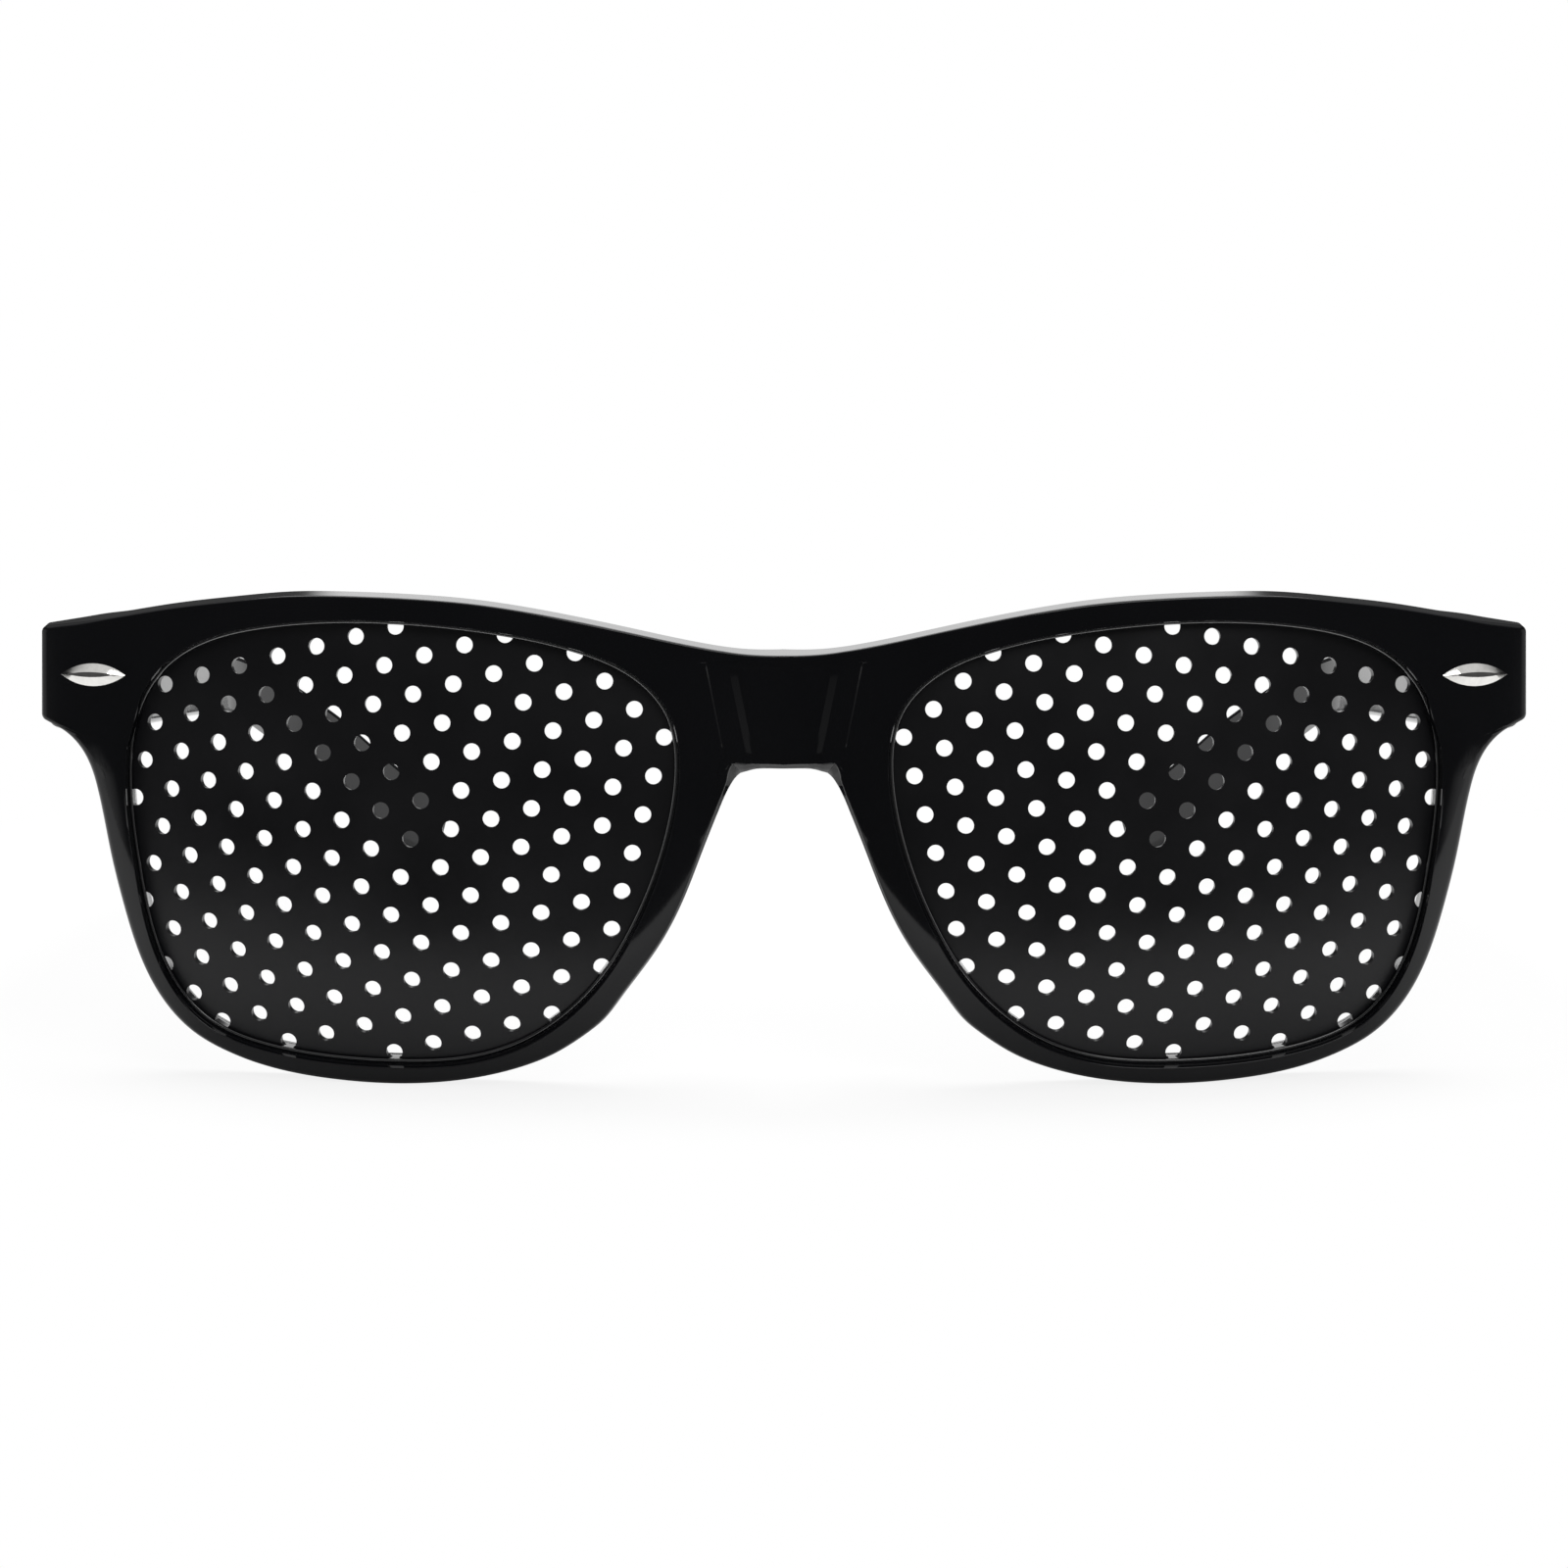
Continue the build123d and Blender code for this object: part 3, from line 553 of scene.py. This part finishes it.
# Painted highlight: the bead gets more shine than the frame plastic it is made of
bead_painted_highlight = glossy_black("lip_plastic_painted_highlight", 900, 0.16, 1.0)
bead_nodes, bead_links = bead_painted_highlight.node_tree.nodes, bead_painted_highlight.node_tree.links
bead_shader = bead_nodes["Principled BSDF"]
bead_place = bead_nodes.new("ShaderNodeTexCoord")
bead_split = bead_nodes.new("ShaderNodeSeparateXYZ")
# Painted highlight: the shine rises with height, weaker along the bottom and strongest at the top
bead_highlight_by_height = bead_nodes.new("ShaderNodeMapRange")
bead_highlight_by_height.inputs["From Min"].default_value = 0.006
bead_highlight_by_height.inputs["From Max"].default_value = 0.014
bead_highlight_by_height.inputs["To Min"].default_value = 0.35
bead_highlight_by_height.inputs["To Max"].default_value = 1.0
bead_links.new(bead_place.outputs["Object"], bead_split.inputs["Vector"])
bead_links.new(bead_split.outputs["Z"], bead_highlight_by_height.inputs["Value"])
bead_links.new(bead_highlight_by_height.outputs["Result"], bead_shader.inputs["Specular IOR Level"])
# A higher IOR brightens the painted highlight further
bead_shader.inputs["IOR"].default_value = 2.0
beads.data.materials.append(bead_painted_highlight)
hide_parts("front_frame")

# Nose pads: two narrow ovals of the same glossy black plastic, moulded on the backs of the rims
# beside the arch. They lean with the sides of the nose.
pad_x, pad_z, pad_lean, pad_reach, pad_splay = 12.1, 17.6, math.radians(64), 5.0, 0.8
pad_long, pad_long_taper, pad_long_round = 6.0, 1.7, 0.9
pad_short, pad_short_taper, pad_short_end = 1.6, 0.5, 0.35
pad_root, pad_end_start = -0.35, 0.86


def pad_surface(side):
    """An oval carried backwards: it narrows with the reach and closes over in a rounded end. Its
    root is sunk in the rim."""
    turn = np.linspace(0, 2 * np.pi, 56, endpoint=False)
    end_share = 1 - pad_end_start
    share = np.concatenate([
        np.linspace(pad_root, pad_end_start, 12),
        pad_end_start + end_share * np.sin(np.linspace(0.15, 1, 7) * np.pi / 2),
    ])
    out = np.clip(share, 0, 1)
    dome = np.sqrt(np.clip(1 - np.clip((share - pad_end_start) / end_share, 0, 1) ** 2, 0, 1))
    end_narrowing = np.where(share > pad_end_start, pad_short_end + (1 - pad_short_end) * dome, 1)
    long_half = (pad_long - pad_long_taper * out) - pad_long_round * (1 - dome)
    short_half = (pad_short - pad_short_taper * out) * end_narrowing
    long_half[-1], short_half[-1] = 0, 0
    along = long_half[:, None] * np.cos(turn)
    beside = short_half[:, None] * np.sin(turn)
    middle_x = pad_x + pad_splay * share[:, None]
    x = middle_x + along * math.cos(pad_lean) + beside * math.sin(pad_lean)
    z = pad_z - along * math.sin(pad_lean) + beside * math.cos(pad_lean)
    root = ball_front(pad_x, pad_z, face_radius - rim_depth)
    y = np.broadcast_to((root + pad_reach * share)[:, None], x.shape)
    points = np.stack([x * side, y, z], axis=2).reshape(-1, 3)
    faces = grid_faces(len(share), len(turn), False, True)
    cap = [list(range(len(turn)))]
    return points, faces, cap


pad_points, pad_faces = [], []
for side in (1, -1):
    points, faces, cap = pad_surface(side)
    start = sum(len(p) for p in pad_points)
    faces = faces.tolist() + cap
    pad_faces += [[c + start for c in (f if side == 1 else f[::-1])] for f in faces]
    pad_points.append(points)
pads = make_piece(
    "nose_pads", *closed_up(np.concatenate(pad_points), pad_faces), "front",
    "frame_plastic", sharp_degrees=60,
)
pads.data.materials.append(frame_plastic)
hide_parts("front_frame")

# Temples: long arms moulded in glossy black plastic, flat-sided with rounded edges, that bend down
# behind the ear and curve inwards to a rounded tip. A metal hinge holds each one to the front.
# A station has five shares: way back, way inwards, level, height and thickness
temple_shares = [
    (0.0, 0.0, 0.9845, 0.94, 1.0), (0.1, 0.0072, 0.938, 0.94, 1.0),
    (0.3, 0.0216, 0.8453, 0.87, 0.97),
    (0.5, 0.034, 0.758, 0.755, 0.95), (0.61, 0.0415, 0.706, 0.705, 0.93),
    (0.65, 0.0465, 0.6835, 0.67, 0.92), (0.69, 0.0565, 0.655, 0.625, 0.92),
    (0.735, 0.076, 0.608, 0.595, 0.92), (0.787, 0.1, 0.517, 0.63, 0.92),
    (0.84, 0.13, 0.402, 0.685, 0.92), (0.891, 0.159, 0.272, 0.74, 0.92),
    (0.93, 0.1825, 0.176, 0.765, 0.91), (0.96, 0.2036, 0.111, 0.73, 0.87),
    (0.978, 0.2167, 0.079, 0.62, 0.74), (0.988, 0.2243, 0.0624, 0.44, 0.52),
]
temple_butt_y, temple_reach, temple_middle_x, hinge_z = -53.95, 124.35, 70.5, 38.6
temple_thickness, temple_height, temple_edge, tip_bulge = 3.72, 10.4, 1.15, 0.5


def temple_surface(side):
    """A rounded rectangle carried along a smooth path: at each place it is turned square to the
    path, and its height, thickness and corner radius follow the stations. The path and the sizes
    are straight between the stations, smoothed by a moving average."""
    stations = np.array(temple_shares)
    knots = np.column_stack([
        temple_middle_x - stations[:, 1] * temple_reach,
        temple_butt_y + stations[:, 0] * temple_reach,
        stations[:, 2] * hinge_z,
    ])
    tip_start, reach = stations[-1, 0], 30
    place = np.concatenate([
        np.linspace(0, 0.08, 12)[:-1], np.linspace(0.08, 0.6, 26)[:-1],
        np.linspace(0.6, tip_start, 74),
    ])
    fine = np.linspace(0, tip_start, 1200)
    path = np.column_stack([np.interp(fine, stations[:, 0], knots[:, k]) for k in range(3)])
    size = np.column_stack([np.interp(fine, stations[:, 0], stations[:, k]) for k in (3, 4)])
    window = np.hanning(2 * reach + 1)
    window /= window.sum()
    padded_path = np.concatenate([
        2 * path[:1] - path[reach:0:-1], path, 2 * path[-1:] - path[-2:-2 - reach:-1],
    ])
    padded_size = np.concatenate([
        2 * size[:1] - size[reach:0:-1], size, np.repeat(size[-1:], reach, axis=0),
    ])
    path = np.column_stack([np.convolve(padded_path[:, k], window, "valid") for k in range(3)])
    size = np.column_stack([np.convolve(padded_size[:, k], window, "valid") for k in range(2)])
    middle = np.column_stack([np.interp(place, fine, path[:, k]) for k in range(3)])
    size = np.column_stack([np.interp(place, fine, size[:, k]) for k in range(2)])
    way = np.gradient(middle, axis=0)
    way /= np.linalg.norm(way, axis=1)[:, None]
    outward = np.cross(way, (0, 0, 1))
    outward /= np.linalg.norm(outward, axis=1)[:, None]
    upward = np.cross(outward, way)
    points_round = 64
    turn = (np.arange(points_round) + 0.5) / points_round * 2 * np.pi
    corner = np.stack([np.cos(turn), np.sin(turn)], axis=1)
    half_thick = temple_thickness * size[:, 1] / 2
    half_high = temple_height * size[:, 0] / 2
    radius = np.minimum(temple_edge * size[:, 0], half_thick * 0.95)
    across = np.sign(corner[:, 0]) * (half_thick - radius)[:, None] + corner[:, 0] * radius[:, None]
    above = np.sign(corner[:, 1]) * (half_high - radius)[:, None] + corner[:, 1] * radius[:, None]
    rows = (
        middle[:, None] + outward[:, None] * across[..., None]
        + upward[:, None] * above[..., None]
    )
    rows[..., 1] = np.maximum(rows[..., 1], temple_butt_y)
    butt, butt_middle = rows[0], rows[0].mean(axis=0)
    butt_share = np.array([0.0, 0.5, 0.8, 0.93, 0.985])[:, None, None]
    first_rows = butt_middle + (butt - butt_middle) * butt_share
    first_rows[..., 1] = temple_butt_y
    tip, tip_middle = rows[-1], rows[-1].mean(axis=0)
    tip_share = np.array([0.93, 0.75, 0.5, 0.25, 0.0])[:, None, None]
    bulge = way[-1] * np.sqrt(1 - tip_share**2) * tip_bulge
    last_rows = tip_middle + (tip - tip_middle) * tip_share + bulge
    grid = np.concatenate([first_rows, rows, last_rows])
    grid[..., 0] *= side
    return grid


for side, word in ((1, "right"), (-1, "left")):
    grid = temple_surface(side)
    faces = grid_faces(grid.shape[0], grid.shape[1], False, True)
    faces = faces if side == 1 else faces[:, ::-1]
    arm = make_piece(
        f"temple_arm_{word}", *closed_up(grid.reshape(-1, 3), faces), f"{word}_temple",
        "frame_plastic", sharp_degrees=40,
    )
    arm.data.materials.append(frame_plastic)
    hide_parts(f"temple_{word}")

# Perforated plates: opaque dished sheets of satin black plastic, pierced by rows of small round
# holes and snapped into the groove inside each rim. The sheet has a faint cloudiness and a fine
# even grain.
plate_black = clouded(
    "plate_satin_black", 90, 5, ((0.0050, 0.0050, 0.0060), (0.0085, 0.0085, 0.0098)), (0.3, 0.7),
    (0.3, 0.4),
)
rippled(plate_black, 2600, 0.12, 0.00003)
plate_black.node_tree.nodes["Principled BSDF"].inputs["Specular IOR Level"].default_value = 0.35
for word in ("left", "right"):
    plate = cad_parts[f"pinhole_lens_{word}"]
    plate.data.materials.clear()
    plate.data.materials.append(plate_black)

# Rivet shields and hinges: polished silver-coloured ovals on the outside, satin nickel leaves and
# slotted screws on the inside, all pressed or turned metal.


def metal(name, colour, roughness, mark_size):
    """Plated metal with faint marks of polishing and a slightly uneven shine."""
    material = clouded(
        name, mark_size, 4, ([c * 0.82 for c in colour], colour), (0.25, 0.8),
        (roughness * 0.75, roughness * 1.3),
    )
    material.node_tree.nodes["Principled BSDF"].inputs["Metallic"].default_value = 1
    return material


shield_silver = metal("shield_polished_silver", (0.86, 0.85, 0.82), 0.09, 1500)
hinge_nickel = metal("hinge_satin_nickel", (0.66, 0.65, 0.62), 0.3, 2400)
for word in ("left", "right"):
    for node_name, finish in (
        ("front_rivet_shield", shield_silver),
        ("temple_rivet_shield", shield_silver),
        ("front_hinge_leaf", hinge_nickel),
        ("temple_hinge_leaf", hinge_nickel),
        ("hinge_screw", hinge_nickel),
    ):
        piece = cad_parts[f"{node_name}_{word}"]
        piece.data.materials.clear()
        piece.data.materials.append(finish)

# Studio: a white sheet of paper under the glasses, a white surround, one large soft lamp overhead
# and a weaker one in front. The paper is plain white to the camera, a little darker near the
# glasses, and their shadow falls on it.
sheet_half, sheet_front, sheet_back = 0.5, -0.1, 0.5
sheet_mesh = bpy.data.meshes.new("white_sheet")
sheet_mesh.from_pydata([
    (-sheet_half, sheet_front, 0), (sheet_half, sheet_front, 0),
    (sheet_half, sheet_back, 0), (-sheet_half, sheet_back, 0),
], [], [(0, 1, 2, 3)])
white_sheet = bpy.data.objects.new("white_sheet", sheet_mesh)
bpy.context.scene.collection.objects.link(white_sheet)
sheet_paper = bpy.data.materials.new("white_paper")
sheet_paper.use_nodes = True
sheet_nodes, sheet_links = sheet_paper.node_tree.nodes, sheet_paper.node_tree.links
paper = sheet_nodes["Principled BSDF"]
paper.inputs["Base Color"].default_value = (0.86, 0.86, 0.86, 1)
paper.inputs["Roughness"].default_value = 0.9
paper.inputs["Specular IOR Level"].default_value = 0
glow = sheet_nodes.new("ShaderNodeEmission")
glow.inputs["Strength"].default_value = 1.0
ray = sheet_nodes.new("ShaderNodeLightPath")
either = sheet_nodes.new("ShaderNodeMath")
either.operation = "MAXIMUM"
mix = sheet_nodes.new("ShaderNodeMixShader")
sheet_place = sheet_nodes.new("ShaderNodeTexCoord")
from_glasses = sheet_nodes.new("ShaderNodeVectorMath")
from_glasses.operation = "DISTANCE"
from_glasses.inputs[1].default_value = (0, 0.02, 0)
fade = sheet_nodes.new("ShaderNodeMapRange")
fade.inputs["From Min"].default_value = 0.1
fade.inputs["From Max"].default_value = 0.12
fade.inputs["To Min"].default_value = 0.85
fade.inputs["To Max"].default_value = 1.0
share_seen = sheet_nodes.new("ShaderNodeMath")
share_seen.operation = "MULTIPLY"
sheet_links.new(sheet_place.outputs["Object"], from_glasses.inputs[0])
sheet_links.new(from_glasses.outputs["Value"], fade.inputs["Value"])
sheet_links.new(ray.outputs["Is Camera Ray"], either.inputs[0])
sheet_links.new(ray.outputs["Is Transmission Ray"], either.inputs[1])
sheet_links.new(either.outputs["Value"], share_seen.inputs[0])
sheet_links.new(fade.outputs["Result"], share_seen.inputs[1])
sheet_links.new(share_seen.outputs["Value"], mix.inputs["Fac"])
sheet_links.new(paper.outputs["BSDF"], mix.inputs[1])
sheet_links.new(glow.outputs["Emission"], mix.inputs[2])
sheet_links.new(mix.outputs["Shader"], sheet_nodes["Material Output"].inputs["Surface"])
sheet_mesh.materials.append(sheet_paper)

# The surround is white to the camera, dim as light, and glossy surfaces see its bright panels:
# behind the glasses, overhead and at both sides
surround = bpy.data.worlds.new("white_surround")
bpy.context.scene.world = surround
surround.use_nodes = True
world_nodes, world_links = surround.node_tree.nodes, surround.node_tree.links
world_nodes.clear()
seen = world_nodes.new("ShaderNodeBackground")
seen.inputs["Color"].default_value = (1, 1, 1, 1)
felt = world_nodes.new("ShaderNodeBackground")
felt.inputs["Color"].default_value = (1, 1, 1, 1)
felt.inputs["Strength"].default_value = 0.45
mirrored = world_nodes.new("ShaderNodeBackground")
direction = world_nodes.new("ShaderNodeTexCoord")
split = world_nodes.new("ShaderNodeSeparateXYZ")
side_share = world_nodes.new("ShaderNodeMath")
side_share.operation = "ABSOLUTE"
world_links.new(direction.outputs["Generated"], split.inputs["Vector"])
world_links.new(split.outputs["X"], side_share.inputs[0])


def panel(share, low, high, strength):
    """A bright stretch of the surround, from where a share of the direction passes low to high."""
    edge = world_nodes.new("ShaderNodeMapRange")
    edge.inputs["From Min"].default_value = low
    edge.inputs["From Max"].default_value = high
    edge.inputs["To Min"].default_value = 0.0
    edge.inputs["To Max"].default_value = strength
    world_links.new(share, edge.inputs["Value"])
    return edge.outputs["Result"]


def joined(operation, first, second):
    """Two values of the surround put together."""
    both = world_nodes.new("ShaderNodeMath")
    both.operation = operation
    world_links.new(first, both.inputs[0])
    world_links.new(second, both.inputs[1])
    return both.outputs["Value"]


behind = joined(
    "MULTIPLY", panel(split.outputs["Y"], 0.6, 0.8, 1.5),
    panel(side_share.outputs["Value"], 0.1, 0.085, 1.0),
)
overhead = panel(split.outputs["Z"], 0.55, 0.8, 0.9)
beside = panel(side_share.outputs["Value"], 0.87, 0.94, 0.8)
bright = joined("MAXIMUM", joined("MAXIMUM", behind, overhead), beside)
floor_of_light = world_nodes.new("ShaderNodeMath")
floor_of_light.operation = "MAXIMUM"
floor_of_light.inputs[1].default_value = 0.09
world_links.new(bright, floor_of_light.inputs[0])
world_links.new(floor_of_light.outputs["Value"], mirrored.inputs["Strength"])
world_ray = world_nodes.new("ShaderNodeLightPath")
glossy_mix = world_nodes.new("ShaderNodeMixShader")
camera_mix = world_nodes.new("ShaderNodeMixShader")
world_output = world_nodes.new("ShaderNodeOutputWorld")
seen_ray = world_nodes.new("ShaderNodeMath")
seen_ray.operation = "MAXIMUM"
world_links.new(world_ray.outputs["Is Camera Ray"], seen_ray.inputs[0])
world_links.new(world_ray.outputs["Is Transmission Ray"], seen_ray.inputs[1])
world_links.new(world_ray.outputs["Is Glossy Ray"], glossy_mix.inputs["Fac"])
world_links.new(felt.outputs["Background"], glossy_mix.inputs[1])
world_links.new(mirrored.outputs["Background"], glossy_mix.inputs[2])
world_links.new(seen_ray.outputs["Value"], camera_mix.inputs["Fac"])
world_links.new(glossy_mix.outputs["Shader"], camera_mix.inputs[1])
world_links.new(seen.outputs["Background"], camera_mix.inputs[2])
world_links.new(camera_mix.outputs["Shader"], world_output.inputs["Surface"])


def soft_lamp(name, place, target, width, height, watts):
    """A large flat lamp at a place, facing a target."""
    lamp = bpy.data.lights.new(name, "AREA")
    lamp.shape = "RECTANGLE"
    lamp.size, lamp.size_y = width, height
    lamp.energy = watts
    lamp_object = bpy.data.objects.new(name, lamp)
    bpy.context.scene.collection.objects.link(lamp_object)
    way = Vector(target) - Vector(place)
    lamp_object.rotation_euler = way.to_track_quat("-Z", "Y").to_euler()
    lamp_object.location = place


soft_lamp("overhead_lamp", (0, 0.15, 0.8), (0, -0.03, 0.02), 0.7, 0.5, 6)
soft_lamp("front_lamp", (0.25, -0.8, 0.75), (0, -0.05, 0.03), 0.5, 0.4, 2)

# The camera stands in front and looks down a little
camera_tilt = 9.0
camera_data = bpy.data.cameras.new("camera")
camera_data.lens = 120.0
camera_data.sensor_width = 36.0
camera_data.clip_start = 0.01
camera = bpy.data.objects.new("camera", camera_data)
bpy.context.scene.collection.objects.link(camera)
camera.location = (0, -0.5634, 0.10817)
camera.rotation_euler = (math.radians(90 - camera_tilt), 0, 0)
bpy.context.scene.camera = camera
bpy.context.scene.view_settings.view_transform = "Standard"
